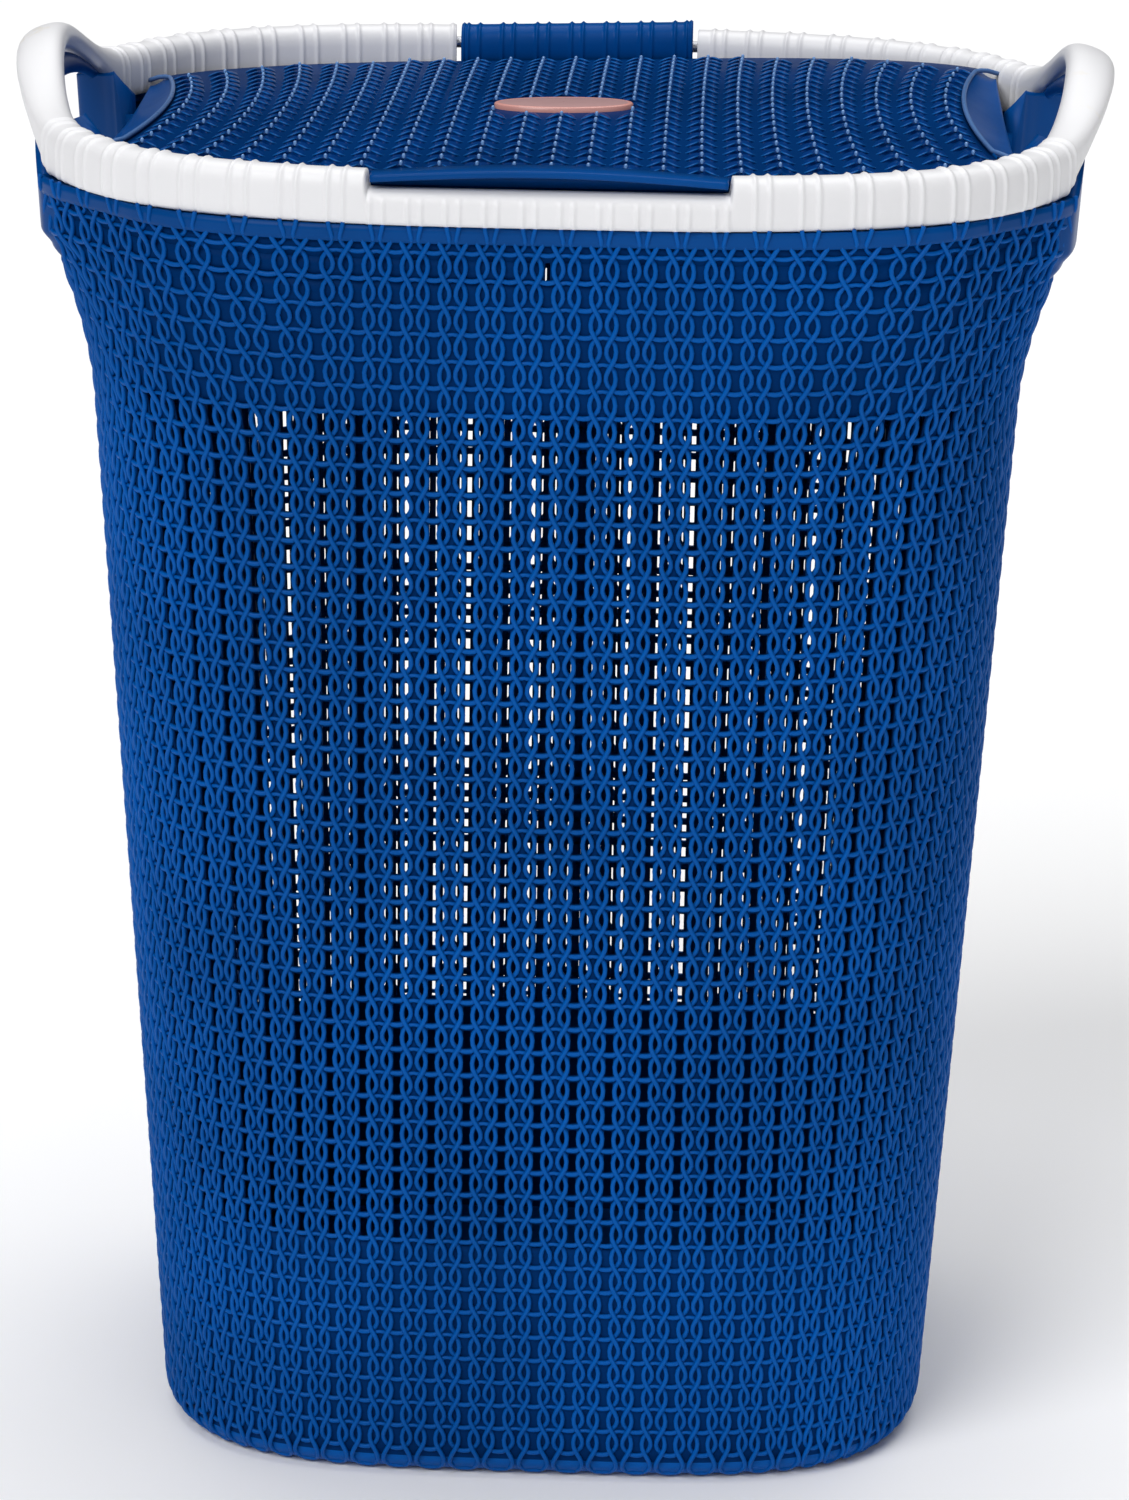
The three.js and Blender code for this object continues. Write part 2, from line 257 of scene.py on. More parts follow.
# ---- mesh helpers ---------------------------------------------------------------------------
def mesh_object(name, points, quads, material, body, replaces=(), slot=None):
    """An object from points in millimetres and faces of four corners."""
    mesh = bpy.data.meshes.new(name)
    points = np.asarray(points, dtype=np.float32).reshape(-1, 3) * MM
    quads = np.asarray(quads, dtype=np.int32).reshape(-1, 4)
    mesh.vertices.add(len(points))
    mesh.vertices.foreach_set("co", points.ravel())
    mesh.loops.add(quads.size)
    mesh.loops.foreach_set("vertex_index", quads.ravel())
    mesh.polygons.add(len(quads))
    mesh.polygons.foreach_set("loop_start", np.arange(0, quads.size, 4, dtype=np.int32))
    mesh.polygons.foreach_set("use_smooth", np.full(len(quads), True))
    mesh.update(calc_edges=True)
    mesh.validate()
    mesh.materials.append(material)
    piece = bpy.data.objects.new(name, mesh)
    bpy.context.scene.collection.objects.link(piece)
    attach(piece, body)
    if replaces:
        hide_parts(*replaces)
    return piece


class Mesher:
    """Collects grids of points into one mesh."""

    def __init__(self):
        self.points, self.quads, self.count = [], [], 0

    def grid(self, points, closed_u=False, closed_v=False, flip=False):
        nu, nv = points.shape[:2]
        index = np.arange(nu * nv).reshape(nu, nv) + self.count
        if closed_u:
            index = np.concatenate([index, index[:1]], 0)
        if closed_v:
            index = np.concatenate([index, index[:, :1]], 1)
        a, b, c, d = index[:-1, :-1], index[1:, :-1], index[1:, 1:], index[:-1, 1:]
        quads = np.stack([a, d, c, b] if flip else [a, b, c, d], -1).reshape(-1, 4)
        self.points.append(points.reshape(-1, 3))
        self.quads.append(quads)
        self.count += nu * nv
        return quads

    def tube(self, path, across, radius, sides=6, closed=False, caps=True):
        """A round bar along a path; across is a direction that is never along it."""
        along = np.gradient(path, axis=0)
        if closed:
            along[0] = path[1] - path[-1]
            along[-1] = path[0] - path[-2]
        along /= np.linalg.norm(along, axis=1, keepdims=True) + 1e-9
        side = np.cross(along, across)
        side /= np.linalg.norm(side, axis=1, keepdims=True) + 1e-9
        up = np.cross(side, along)
        turn = np.arange(sides) * TAU / sides
        radius = np.broadcast_to(np.asarray(radius, float), (len(path),))[:, None, None]
        ring = (path[:, None] + radius * (np.cos(turn)[None, :, None] * up[:, None]
                                          + np.sin(turn)[None, :, None] * side[:, None]))
        if caps and not closed:
            ring = np.concatenate([ring[:1] * 0 + path[:1, None], ring, ring[-1:] * 0 + path[-1:, None]])
        self.grid(ring, closed_u=closed, closed_v=True)

    def make(self, name, material, body, **more):
        return mesh_object(name, np.concatenate(self.points), np.concatenate(self.quads),
                           material, body, **more)


def smooth(low, high, value):
    t = np.clip((value - low) / (high - low), 0, 1)
    return t * t * (3 - 2 * t)


def bell(value, half):
    return 0.5 + 0.5 * np.cos(np.pi * np.clip(np.abs(value) / half, 0, 1))


def oval(a, b, n, angle):
    c, s = np.cos(angle), np.sin(angle)
    return a * np.sign(c) * np.abs(c) ** (2 / n), b * np.sign(s) * np.abs(s) ** (2 / n)


class EvenLoop:
    """Points of a closed outline by the distance run from its front centre."""

    def __init__(self, at, steps=9000):
        angle = np.linspace(-np.pi / 2, 1.5 * np.pi, steps + 1)
        x, y = at(angle)
        self.length = np.concatenate([[0], np.cumsum(np.hypot(np.diff(x), np.diff(y)))])
        self.total, self.angle, self.x, self.y = self.length[-1], angle, x, y

    def point(self, run):
        run = np.mod(run, self.total)
        return np.interp(run, self.length, self.x), np.interp(run, self.length, self.y)

    def turn(self, run):
        return np.interp(np.mod(run, self.total), self.length, self.angle)


# ---- surface of the tub ---------------------------------------------------------------------
def tub_half(z):
    k = np.asarray(z, float) / WALL_TOP
    return BASE_A + (TOP_A - BASE_A) * k, BASE_B + (TOP_B - BASE_B) * k


REF_A, REF_B = tub_half(REF_Z)
TUB_LOOP = EvenLoop(lambda t: oval(REF_A, REF_B, TUB_POWER, t))


def wale_count():
    return int(round(TUB_LOOP.total * MM / sizes().wale))


def flare(z):
    """How far the wall has swollen at a height: a slow curve, then a short shelf."""
    swell = np.clip((np.asarray(z, float) - EAR_FOOT) / (EAR_SHELF - EAR_FOOT), 0, 1) ** 2
    return EAR_DEPTH * (0.76 * swell + 0.24 * smooth(EAR_SHELF, EAR_SHELF + 7, z))


def tub_skin(w, z):
    """A point of the tub's outer face: w counts stitch columns from the front centre."""
    half = TUB_LOOP.total / 2
    run = w * TUB_LOOP.total / wale_count()
    near = np.mod(run, half)
    spread = np.minimum(near, half - near)
    fan = FAN * smooth(70, 165, spread) * (1 - smooth(205, 300, spread)) * smooth(440, 549, z)
    drift = BACK_DRIFT * (1 - np.cos(np.pi * run / half)) / 2
    xr, yr = TUB_LOOP.point(run + drift + np.where(near < half / 2, fan, -fan))
    a, b = tub_half(z)
    x = xr * (1 - (1 - a / REF_A) * (xr / REF_A) ** 2)
    y = yr * (1 - (1 - b / REF_B) * (yr / REF_B) ** 2)
    scale = (np.abs(x / a) ** TUB_POWER + np.abs(y / b) ** TUB_POWER) ** (-1 / TUB_POWER)
    x, y = x * scale, y * scale
    far = np.abs(y)
    ear = smooth(49, 72, far) * (1 - smooth(84, 136, far)) * flare(z)
    pocket = (1 - smooth(38, 60, far)) * smooth(POCKET_FOOT, 515, z)
    push = ear - POCKET_DEPTH * pocket
    side = np.sign(x) * smooth(110, 150, np.abs(x))
    return np.stack(np.broadcast_arrays(x + side * push, y, np.asarray(z, float)), -1)


def tub_shell(w, z, depth):
    """Points at a depth below the outer face, and the outward direction there."""
    w, z, depth = np.broadcast_arrays(np.asarray(w, float), np.asarray(z, float),
                                      np.asarray(depth, float))
    low = np.clip(FOOT_RADIUS - z, 0, FOOT_RADIUS)
    depth = depth + FOOT_RADIUS - np.sqrt(FOOT_RADIUS ** 2 - low ** 2)
    p = tub_skin(w, z)
    du = tub_skin(w + 0.04, z) - tub_skin(w - 0.04, z)
    dz = tub_skin(w, z + 0.5) - tub_skin(w, z - 0.5)
    out = np.cross(du, dz)
    out /= np.linalg.norm(out, axis=-1, keepdims=True)
    return p - out * depth[..., None], out


# ---- rim ------------------------------------------------------------------------------------
def rim_line(angle):
    x, y = oval(RIM_A, RIM_B, RIM_POWER, angle)
    return x + np.sign(x) * np.where(np.abs(y) < 120, HANDLE_OUT * bell(y, 120), 0), y


RIM_LOOP = EvenLoop(rim_line)


def rim_frame(run):
    """Centre line, outward direction and rise of the rim at a distance round it."""
    x, y = RIM_LOOP.point(run)
    xa, ya = RIM_LOOP.point(run - 0.8)
    xb, yb = RIM_LOOP.point(run + 0.8)
    length = np.hypot(xb - xa, yb - ya)
    return x, y, (yb - ya) / length, -(xb - xa) / length, np.where(np.abs(x) > 150, bell(y, 95), 0)


def rim_run_of(x, y):
    """Distance round the rim of the rim point nearest to a place on the tub."""
    run = np.linspace(0, RIM_LOOP.total, 4000)
    rx, ry = RIM_LOOP.point(run)
    return np.array([run[np.argmin((rx - a) ** 2 + (ry - b) ** 2)] for a, b in zip(x, y)])


def rim_under(x, y):
    """Height of the rim's lower face, which rises in an arch below each handle."""
    arch = (RIM_H + HANDLE_UP - HANDLE_H) * np.maximum(0, 1 - (np.asarray(y) / ARCH_HALF) ** 2)
    return RIM_TOP - RIM_H + np.where(np.abs(x) > 150, arch, 0)


def rib_places():
    """Columns, counted from the front centre, at which the paired ribs stand."""
    gaps = np.arange(wale_count()) + 0.5
    return np.sort(np.concatenate([gaps - 0.17, gaps + 0.17]))


# ---- lid ------------------------------------------------------------------------------------
def lid_top(x, y):
    return (568.3 - 0.000153 * (y + 110) ** 2
            - 4 * (x / 170) ** 2 * np.clip((100 - y) / 200, 0, 1))


def lid_warp(points):
    """The lid sits a little higher on its right at the hinge, as a thin moulding does."""
    lean = math.tan(sizes().warp) * smooth(-190, 150, points[..., 1])
    points = np.array(points, float)
    points[..., 2] += points[..., 0] * lean
    return points


def lid_end(y):
    return LID_END + 9 * (y / 90) ** 2


def lid_edge(y):
    """Half width of the lid's round outline at a depth."""
    b = np.where(y < 0, -LID_FRONT, LID_BACK + 3)
    return LID_A * np.maximum(0, 1 - np.minimum(np.abs(y) / b, 0.9999) ** RIM_POWER) ** (1 / RIM_POWER)


# ---- operators ------------------------------------------------------------------------------
# One leg of a stitch, from the middle of its bar to the link with the next column: sideways place
# in columns, height in rows, and depth of its centre below the surface in millimetres.
STITCH_LEG = np.array([
    (0.000, 0.00, 1.75), (0.130, 0.02, 1.80), (0.235, 0.08, 2.20), (0.330, 0.19, 2.35),
    (0.395, 0.35, 1.90), (0.420, 0.54, 1.55), (0.385, 0.76, 1.15), (0.290, 1.00, 0.95),
    (0.195, 1.24, 1.15), (0.155, 1.46, 1.55), (0.175, 1.68, 2.00), (0.240, 1.87, 2.45),
    (0.360, 1.98, 2.50), (0.500, 2.02, 2.15)])


def curve(points, steps, mirrored=True):
    """A smooth curve through points, in even steps of its parameter."""
    points = np.asarray(points, float)
    flip = np.array([-1.0] + [1.0] * (points.shape[1] - 1))
    if mirrored:
        before = points[1] * flip
        after = points[-2] * flip + np.array([2 * points[-1, 0]] + [0.0] * (points.shape[1] - 1))
    else:
        before, after = 2 * points[0] - points[1], 2 * points[-1] - points[-2]
    p = np.concatenate([[before], points, [after]])
    t = np.linspace(0, len(points) - 1, steps + 1)
    i = np.minimum(t.astype(int), len(points) - 2)
    u = (t - i)[:, None]
    a, b, c, d = p[i], p[i + 1], p[i + 2], p[i + 3]
    return 0.5 * (2 * b + (c - a) * u + (2 * a - 5 * b + 4 * c - d) * u ** 2
                  + (3 * b - a - 3 * c + d) * u ** 3)


def mirror_leg(leg):
    """Both legs of one stitch as one line from left to right."""
    return np.concatenate([(leg * [-1, 1, 1])[::-1], leg[1:]])


class HAMPER_OT_tub_strands(bpy.types.Operator):
    """Knit strands of the tub, one closed yarn for each row"""
    bl_idname = "hamper.tub_strands"
    bl_label = "Tub strands"

    def execute(self, context):
        s = sizes()
        columns, row_height = wale_count(), s.row / MM
        blue = moulded_blue("blue_strand", colours().blue)
        stitch = mirror_leg(curve(STITCH_LEG, 14))[:-1]
        w = (np.arange(columns)[:, None] + stitch[None, :, 0]).ravel()
        rise, depth = np.tile(stitch[:, 1], columns) * row_height, np.tile(stitch[:, 2], columns)
        thin = 1 - 0.25 * smooth(0.40, 0.50, np.abs(np.tile(stitch[:, 0], columns))) * (rise > row_height)
        groups = np.array_split(np.arange(2, s.rows + 1), 7)
        for number, rows in enumerate(groups, 1):
            mesher = Mesher()
            for row in rows:
                z = np.maximum(FIRST_BAR - row * row_height + rise, 1.6)
                skin = tub_skin(w, z)
                hidden = (smooth(170, 185, np.abs(skin[:, 0])) * smooth(EAR_SHELF - 9, EAR_SHELF - 2, z)
                          * (1 - smooth(90, 96, np.abs(skin[:, 1]))))
                path, out = tub_shell(w, z, depth + 3.4 * hidden)
                mesher.tube(path, out, s.strand / MM * thin, closed=True)
            mesher.make("tub_strands_%d" % number, blue, "tub", slot="blue_plastic")

        # The two top rows end at the band: one hooks into it, the other runs up it as a rib.
        hook = np.array([*STITCH_LEG[:9], (0.140, 1.40, 1.35), (0.115, 1.56, 1.7)])
        rise_to = (BAND_HEAD - FIRST_BAR) / row_height
        rib = np.array([*STITCH_LEG[:5], (0.408, 0.54, 0.6), (0.385, 0.72, 0.25),
                        (0.350, 0.92, 0.2), (0.330, rise_to, 0.2)])
        mesher = Mesher()
        for row, leg in ((1, hook), (0, rib)):
            line = mirror_leg(curve(leg, 16, mirrored=False))
            moved = np.abs(np.diff(line[:, :2], axis=0)).sum(1) > 1e-6
            line = line[np.concatenate([[True], moved])]
            for column in range(columns):
                z = FIRST_BAR - row * row_height + line[:, 1] * row_height
                middle = tub_skin(float(column), 537.0)
                if abs(middle[0]) > 170 and abs(middle[1]) < 93:
                    continue
                path, out = tub_shell(column + line[:, 0], z, line[:, 2])
                mesher.tube(path, out, s.strand / MM * (0.92 if row == 0 else 1.0))
        mesher.make("tub_strands_top", blue, "tub", slot="blue_plastic")
        return {"FINISHED"}


class HAMPER_OT_tub_web(bpy.types.Operator):
    """Ground of the tub wall: solid above and below, narrow posts in the open part, in a darker blue that is
    painted shade
    """
    bl_idname = "hamper.tub_web"
    bl_label = "Tub web"

    def shell(self, mesher, low, high, slit=0.0):
        """A band of solid ground between two heights, open at the front centre if it has a slit."""
        columns = wale_count()
        w = np.arange(columns * 4) / 4
        if slit:
            w = np.concatenate([[slit], w[1:], [columns - slit]])
        levels = np.linspace(low, high, max(3, int((high - low) / 5)))
        rings = [tub_shell(w, z, 2.45)[0] for z in levels]
        rings += [tub_shell(w, z, 3.6)[0] for z in levels[::-1]]
        rings = np.stack(rings, 1)
        if slit:
            ends = [ring.mean(1, keepdims=True) + 0 * ring for ring in (rings[:1], rings[-1:])]
            rings = np.concatenate([ends[0], rings, ends[1]])
        mesher.grid(rings, closed_u=not slit, closed_v=True)

    def execute(self, context):
        # Painted shade: the ground, posts and cross bars take the darker blue, standing in for the shade
        # behind the strands.
        painted_shade_blue = moulded_blue("blue_ground", colours().painted_shade_blue, 0.42, shine=0.015)
        mesher = Mesher()
        self.shell(mesher, OPEN_TOP, SLIT_FOOT)
        self.shell(mesher, SLIT_FOOT, SLIT_TOP, 0.068)
        self.shell(mesher, SLIT_TOP, BAND_FOOT + 1)
        mesher.make("tub_web_upper", painted_shade_blue, "tub", slot="blue_plastic",
                    replaces=("tub_wall_front", "tub_wall_back"))
        mesher = Mesher()
        self.shell(mesher, 2.0, OPEN_FOOT)
        mesher.make("tub_web_lower", painted_shade_blue, "tub", slot="blue_plastic",
                    replaces=("tub_wall_left", "tub_wall_right"))
        mesher = Mesher()
        z = np.linspace(OPEN_FOOT - 3, OPEN_TOP + 3, 60)
        columns = np.arange(wale_count())
        for middle, front, back in POSTS:
            for column in columns + middle:
                behind = abs(column - wale_count() / 2) < wale_count() / 4
                half = back if behind else front
                corners = [tub_shell(column + side * half, z, depth)[0]
                           for side, depth in ((-1, WEB_FACE), (1, WEB_FACE), (1, WEB_BACK), (-1, WEB_BACK))]
                mesher.grid(np.stack(corners, 1), closed_v=True)
        mesher.make("tub_posts", painted_shade_blue, "tub", slot="blue_plastic")
        mesher = Mesher()
        w = np.arange(wale_count() * 4) / 4
        row = sizes().row / MM
        for number in BAR_ROWS:
            bar = FIRST_BAR - number * row
            corners = [tub_shell(w, bar + dz * row, depth)[0]
                       for dz, depth in ((-0.17, 2.5), (0.08, 2.5), (0.08, WEB_BACK), (-0.17, WEB_BACK))]
            mesher.grid(np.stack(corners, 1), closed_u=True, closed_v=True)
        mesher.make("tub_cross_bars", painted_shade_blue, "tub", slot="blue_plastic")
        return {"FINISHED"}


class HAMPER_OT_tub_band(bpy.types.Operator):
    """Smooth band under the rim, the flares below the handles and a bead under each handle's arch"""
    bl_idname = "hamper.tub_band"
    bl_label = "Tub band"

    def execute(self, context):
        blue = moulded_blue("blue_smooth", colours().plain, 0.34, 0.06)
        w = np.arange(wale_count() * 6) / 6
        mesher = Mesher()
        rings = [tub_shell(w, BAND_FOOT + (WALL_TOP - BAND_FOOT) * k, d)[0]
                 for k, d in ((0, 1.0), (0.06, 0.5), (0.3, 0.4), (0.6, 0.4), (1, 0.4),
                              (1, 3.6), (0.5, 3.6), (0, 3.6))]
        mesher.grid(np.stack(rings, 1), closed_u=True, closed_v=True)
        mesher.make("tub_band", blue, "tub", slot="blue_plastic")
        for side, name in ((-1, "left"), (1, "right")):
            for end, place in ((-1, "front"), (1, "rear")):
                self.ear(side, end, "%s_%s" % (name, place), blue)
            y = np.linspace(-66, 66, 61)
            x, up = self.skin_at(y, 570.0) + 12.0 * bell(y, 110) + 2.0, rim_under(200.0, y)
            tall = 1.5 + 4.0 * bell(y, 80)
            turn = np.arange(14) * TAU / 14
            ring = np.stack([side * (x[:, None] + 2.3 * np.cos(turn)), y[:, None] + 0 * turn,
                             (up - 0.3 - tall)[:, None] + tall[:, None] * np.sin(turn)], -1)
            ends = [ring[i].mean(0) + 0 * ring[:1] for i in (0, -1)]
            mesher = Mesher()
            mesher.grid(np.concatenate([ends[0], ring, ends[1]]), closed_v=True, flip=side < 0)
            mesher.make("tub_bead_%s" % name, blue, "tub", slot="blue_plastic")
        return {"FINISHED"}

    def skin_at(self, y, z):
        """Half width of the end wall at a depth and height, without its flare."""
        a, b = tub_half(z)
        return a * (1 - np.abs(y / b) ** TUB_POWER) ** (1 / TUB_POWER)

    def ear(self, side, end, name, material):
        """The smooth face that steps out below a handle foot and fills the arch."""
        far, k = np.meshgrid(np.linspace(EAR_NEAR, EAR_FAR, 40), np.linspace(0, 1, 34), indexing="ij")
        foot = EAR_SHELF - 8
        head = rim_under(200.0, far) - 0.4 - 4 * (1 - smooth(50, 64, far))
        z = foot + (head - foot) * k
        x = self.skin_at(far, z) + smooth(49, 66, far) * (1 - smooth(84, 136, far)) * flare(z)
        edge = np.minimum.reduce([smooth(EAR_NEAR, 52, far), 1 - smooth(89, EAR_FAR, far),
                                  smooth(foot, EAR_SHELF, z)])
        fold = (1 - smooth(52, 76, far)) * smooth(foot, foot + 14, z)
        outer = np.stack([side * (x - 0.2 - 2.8 * (1 - edge)), end * far, z], -1)
        inner = np.stack([side * (x - 3.6 - 2.6 * edge - 6.5 * fold), end * far, z - 9 * fold * k], -1)
        mesher = Mesher()
        loop = np.concatenate([outer, inner[:, ::-1]], 1)
        ends = [cap.mean(1, keepdims=True) + 0 * cap for cap in (loop[:1], loop[-1:])]
        mesher.grid(np.concatenate([ends[0], loop, ends[1]]), closed_v=True, flip=side * end < 0)
        mesher.make("ear_%s" % name, material, "tub", slot="blue_plastic",
                    replaces=("tub_ear_%s" % name,))


class HAMPER_OT_tub_base(bpy.types.Operator):
    """Floor of the tub and the rounded edge it stands on"""
    bl_idname = "hamper.tub_base"
    bl_label = "Tub base"

    def execute(self, context):
        blue = moulded_blue("blue_strand", colours().blue)
        w = np.arange(wale_count() * 4) / 4
        outer = ((3.5, 9), (2.4, 8), (2.2, 5), (1.8, 2.4), (1.6, 0.9), (2.6, 0.0))
        rings = [tub_shell(w, z, d)[0] for d, z in outer]
        inner = [tub_shell(w, z, d)[0] for d, z in ((3.6, 9), (3.6, 5.2), (4, 4.2), (8, 4))]
        def towards(ring, k, z):
            return np.stack([ring[:, 0] * k, ring[:, 1] * k, np.full(len(ring), z)], 1)
        under = [towards(rings[-1], k, 0) for k in (0.75, 0.5, 0.25, 0.02)]
        over = [towards(inner[-1], k, 4) for k in (0.02, 0.25, 0.5, 0.75)]
        mesher = Mesher()
        loop = rings + under + over + inner[::-1]
        mesher.grid(np.stack(loop, 1), closed_u=True, closed_v=True)
        mesher.make("tub_base", blue, "tub", slot="blue_plastic", replaces=("tub_floor",))
        return {"FINISHED"}


class HAMPER_OT_rim(bpy.types.Operator):
    """White rim ring with its paired ribs, finger recess and two handles"""
    bl_idname = "hamper.rim"
    bl_label = "Rim and handles"

    def execute(self, context):
        white = moulded_white("rim_white", colours().white)
        gap_run = np.interp(KNUCKLE_GAP, *self.back_half())
        start, stop = -gap_run, gap_run
        run = np.linspace(start, stop, 2300)
        x, y, nx, ny, rise = rim_frame(run)
        sides = 26
        turn = (np.arange(sides) + 0.5) * TAU / sides
        c, si = np.cos(turn), np.sin(turn)
        def round_bar(n):
            return (0.5 * np.sign(c) * np.abs(c) ** (2 / n), 0.5 * np.sign(si) * np.abs(si) ** (2 / n))
        boxy = np.where(si > 0, 2.7, 5.5)
        ax, bz = round_bar(boxy)
        hx, hz = round_bar(2.3)
        k = rise[:, None] ** 0.7
        a, b = ax * (1 - k) + hx * k, bz * (1 - k) + hz * k
        front = (y < 0) & (np.abs(x) < 120)
        recess = np.where(front, 1 - smooth(RECESS_HALF - 0.9, RECESS_HALF + 0.3, np.abs(x)), 0)
        top = RIM_TOP - RECESS_DROP * recess
        height = top + HANDLE_UP * rise - rim_under(x, y)
        width = RIM_W + (HANDLE_W - RIM_W) * rise
        mid = top + HANDLE_UP * rise - height / 2 - 0.7 * rise
        ribs = self.rib_height(run, rise)[:, None] * np.ones(sides)
        low = np.clip((si + 1) / 2, 0, 1)
        outer = smooth(0.0, 0.6, c)
        fade = 1 - smooth(0.50, 0.82, low)
        ribs = ribs * (1 - recess[:, None] * (1 - fade * outer))
        size = 1 + 2 * ribs / np.hypot(width, height)[:, None] * 1.35
        a, b = a * size, np.where(b > 0, b * size, b)
        lean = (HANDLE_TILT * rise)[:, None]
        out, up = a * width[:, None], b * height[:, None]
        out, up = out * np.cos(lean) + up * np.sin(lean), up * np.cos(lean) - out * np.sin(lean)
        points = np.stack([x[:, None] + nx[:, None] * out, y[:, None] + ny[:, None] * out,
                           mid[:, None] + up], -1)
        centre = np.stack([x, y, mid], -1)
        caps = [centre[:1, None] + (points[:1] - centre[:1, None]) * q for q in (0.02, 0.9)]
        tails = [centre[-1:, None] + (points[-1:] - centre[-1:, None]) * q for q in (0.9, 0.02)]
        mesher = Mesher()
        mesher.grid(np.concatenate([*caps, points, *tails]), closed_v=True, flip=True)
        mesher.make("rim_ring", white, "tub", slot="white_plastic",
                    replaces=("rim_front_left", "rim_front_centre", "rim_front_right", "rim_back_left",
                              "rim_back_right", "handle_left", "handle_right"))
        return {"FINISHED"}

    def back_half(self):
        run = np.linspace(0, RIM_LOOP.total / 2, 3000)
        x, y = RIM_LOOP.point(run)
        back = y > 100
        return x[back][::-1], run[back][::-1]

    def rib_height(self, run, rise):
        skin = tub_skin(rib_places(), np.full(wale_count() * 2, 540.0))
        places = rim_run_of(skin[:, 0], skin[:, 1])
        keep = ~((np.abs(skin[:, 0]) > 150) & (np.abs(skin[:, 1]) < 78))
        half = RIM_LOOP.total / 2
        gap = np.abs(np.mod(run[:, None] - places[keep][None] + half, 2 * half) - half).min(1)
        return sizes().rib / MM * np.exp(-(gap / 0.95) ** 2) * (1 - smooth(0.25, 0.45, rise))


class HAMPER_OT_hinge_pins(bpy.types.Operator):
    """Metal finish for the two hinge pins"""
    bl_idname = "hamper.hinge_pins"
    bl_label = "Hinge pins"

    def execute(self, context):
        f = Finish("pin_metal", 0.35, Metallic=1.0)
        lines = f.noise(400.0, 2.0)
        f.feed("Base Color", lines.mix((0.42, 0.43, 0.46), (0.62, 0.63, 0.66)))
        f.feed("Roughness", lines * 0.2 + 0.3)
        for name in ("hinge_pin_left", "hinge_pin_right"):
            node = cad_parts[name]
            node.data.materials.clear()
            node.data.materials.append(f.material)
        return {"FINISHED"}


class HAMPER_OT_lid_panel(bpy.types.Operator):
    """Ground of the lid under its stitches, in a darker blue that is painted shade"""
    bl_idname = "hamper.lid_panel"
    bl_label = "Lid panel"

    def execute(self, context):
        # Painted shade: the lid's ground takes the darker blue, standing in for the shade in the grooves
        # between stitches.
        painted_shade_blue = moulded_blue("blue_ground", colours().painted_shade_blue, 0.42, shine=0.015)
        v = 0.5 - 0.5 * np.cos(np.linspace(0, np.pi, 70))
        y = (LID_FRONT + 1 + (LID_BACK - LID_FRONT - 1) * v)[:, None]
        half = np.minimum(lid_edge(y), lid_end(y))
        x = np.linspace(-1, 1, 80)[None] * half
        y = y + 0 * x
        top = np.stack([x, y, lid_top(x, y) - 1.3], -1)
        under = np.stack([x, y, lid_top(x, y) - 4.0], -1)
        mesher = Mesher()
        mesher.grid(np.concatenate([top, under[:, ::-1]], 1), closed_v=True)
        for edge, flip in ((0, False), (-1, True)):
            mesher.grid(np.stack([top[edge], under[edge]]), flip=flip)
        mesher.points = [lid_warp(p) for p in mesher.points]
        mesher.make("lid_ground", painted_shade_blue, "lid", slot="lid_plastic", replaces=("lid_panel",))
        return {"FINISHED"}


